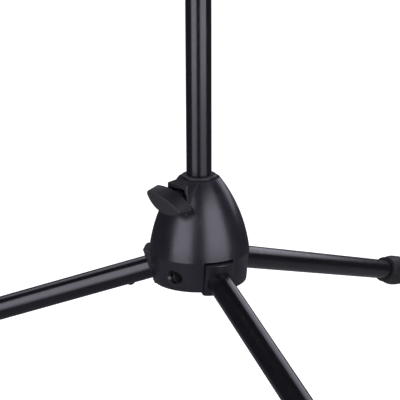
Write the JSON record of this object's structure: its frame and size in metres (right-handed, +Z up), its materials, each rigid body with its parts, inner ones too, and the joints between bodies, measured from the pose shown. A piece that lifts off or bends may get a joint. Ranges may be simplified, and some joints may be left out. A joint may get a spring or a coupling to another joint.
{
  "type": "music stand",
  "caption": "Folding music stand: domed hub with hinged tube legs and rubber feet, clamped telescopic pole, tilting perforated desk with a shelf.",
  "frame": {"origin": "on the floor, on the pole's axis, midway between the three feet", "axes": "+Z up along the pole; the desk faces -Y; the front leg points along -Y and the others at 30 and 150 degrees"},
  "size_m": [0.6144, 0.5354, 1.2012],
  "materials": {
    "hub_plastic": "satin black moulded nylon",
    "core_nylon": "plain black nylon",
    "shoe_plastic": "satin black moulded nylon",
    "black_coat": "semi-matt black powder coat on steel tube",
    "foot_rubber": "matt black rubber",
    "knob_plastic": "fine-grained black plastic",
    "clutch_plastic": "satin black moulded nylon",
    "head_casting": "black coated zinc casting",
    "desk_coat": "fine-textured black powder coat on sheet steel",
    "zinc_steel": "zinc-plated steel",
    "black_steel": "blackened steel",
    "brass": "turned brass"
  },
  "bodies": {
    "hub": {"hub_housing": "hub_plastic", "leg_carrier": "core_nylon", "carrier_screws": "zinc_steel", "guide_bush": "core_nylon", "clamp_nut": "zinc_steel", "leg_bolts": "black_steel", "leg_nuts": "zinc_steel"},
    "right_leg": {"right_leg_tube": "black_coat", "right_leg_shoe": "shoe_plastic", "right_leg_foot": "foot_rubber", "right_leg_rivet": "black_steel"},
    "left_leg": {"left_leg_tube": "black_coat", "left_leg_shoe": "shoe_plastic", "left_leg_foot": "foot_rubber", "left_leg_rivet": "black_steel"},
    "front_leg": {"front_leg_tube": "black_coat", "front_leg_shoe": "shoe_plastic", "front_leg_foot": "foot_rubber", "front_leg_rivet": "black_steel"},
    "hub_pad": {"hub_pad": "brass"},
    "hub_knob": {"hub_screw": "zinc_steel", "hub_knob": "knob_plastic"},
    "stop_ring": {"stop_ring": "core_nylon"},
    "lower_pole": {"lower_tube": "black_coat", "lower_plug": "core_nylon", "clutch_body": "clutch_plastic", "clutch_bush": "core_nylon", "clutch_nut": "zinc_steel", "clutch_rivet": "black_steel"},
    "clutch_pad": {"clutch_pad": "brass"},
    "clutch_knob": {"clutch_screw": "zinc_steel", "clutch_knob": "knob_plastic"},
    "glide": {"glide_bush": "core_nylon"},
    "upper_pole": {"upper_tube": "black_coat", "tilt_head": "head_casting", "head_rivet": "black_steel", "friction_washers": "core_nylon"},
    "desk": {"desk_panel": "desk_coat", "desk_shelf": "desk_coat", "shelf_rivets": "black_steel", "desk_bracket": "desk_coat", "bracket_rivets": "black_steel", "tilt_bolt": "black_steel"},
    "tilt_washer": {"tilt_washer": "zinc_steel"},
    "tilt_knob": {"tilt_insert": "brass", "tilt_knob": "knob_plastic"}
  },
  "joints": [
    {"name": "right_leg_fold", "type": "hinge", "parent": "hub", "child": "right_leg", "pos_m": [0.01983, 0.01145, 0.11377], "axis": [-0.5, 0.866, 0], "range_deg": [0, 71.8]},
    {"name": "left_leg_fold", "type": "hinge", "parent": "hub", "child": "left_leg", "pos_m": [-0.01983, 0.01145, 0.11377], "axis": [-0.5, -0.866, 0], "range_deg": [0, 71.8]},
    {"name": "front_leg_fold", "type": "hinge", "parent": "hub", "child": "front_leg", "pos_m": [0, -0.0229, 0.11377], "axis": [1, 0, 0], "range_deg": [0, 71.8]},
    {"name": "hub_clamp_travel", "type": "slide", "parent": "hub", "child": "hub_pad", "axis": [-0.866, -0.5, 0], "range_m": [0, 0.00151]},
    {"name": "hub_clamp_turn", "type": "hinge", "parent": "hub_pad", "child": "hub_knob", "pos_m": [0, 0, 0.17527], "axis": [-0.866, -0.5, 0], "range_deg": [0, 540]},
    {"name": "pole_slide", "type": "slide", "parent": "hub", "child": "stop_ring", "axis": [0, 0, -1], "range_m": [0, 0.24]},
    {"name": "pole_swivel", "type": "hinge", "parent": "stop_ring", "child": "lower_pole", "pos_m": [0, 0, 0.09777], "axis": [0, 0, 1], "continuous": true},
    {"name": "height_clamp_travel", "type": "slide", "parent": "lower_pole", "child": "clutch_pad", "axis": [0, 1, 0], "range_m": [0, 0.00151]},
    {"name": "height_clamp_turn", "type": "hinge", "parent": "clutch_pad", "child": "clutch_knob", "pos_m": [0, 0, 0.65177], "axis": [0, 1, 0], "range_deg": [0, 540]},
    {"name": "height_slide", "type": "slide", "parent": "lower_pole", "child": "glide", "axis": [0, 0, -1], "range_m": [-0.1, 0.315]},
    {"name": "desk_swivel", "type": "hinge", "parent": "glide", "child": "upper_pole", "pos_m": [0, 0, 0.47777], "axis": [0, 0, 1], "continuous": true},
    {"name": "desk_tilt", "type": "hinge", "parent": "upper_pole", "child": "desk", "pos_m": [0, 0, 1.01877], "axis": [-1, 0, 0], "range_deg": [-20, 62]},
    {"name": "tilt_clamp_travel", "type": "slide", "parent": "desk", "child": "tilt_washer", "axis": [1, 0, 0], "range_m": [0, 0.00151]},
    {"name": "tilt_clamp_turn", "type": "hinge", "parent": "tilt_washer", "child": "tilt_knob", "pos_m": [0.0106, 0, 1.01877], "axis": [1, 0, 0], "range_deg": [0, 540]}
  ],
  "couplings": [
    {"joint": "hub_clamp_travel", "follows": "hub_clamp_turn", "m_per_rad": 0.00015915},
    {"joint": "height_clamp_travel", "follows": "height_clamp_turn", "m_per_rad": 0.00015915},
    {"joint": "tilt_clamp_travel", "follows": "tilt_clamp_turn", "m_per_rad": 0.00015915}
  ]
}
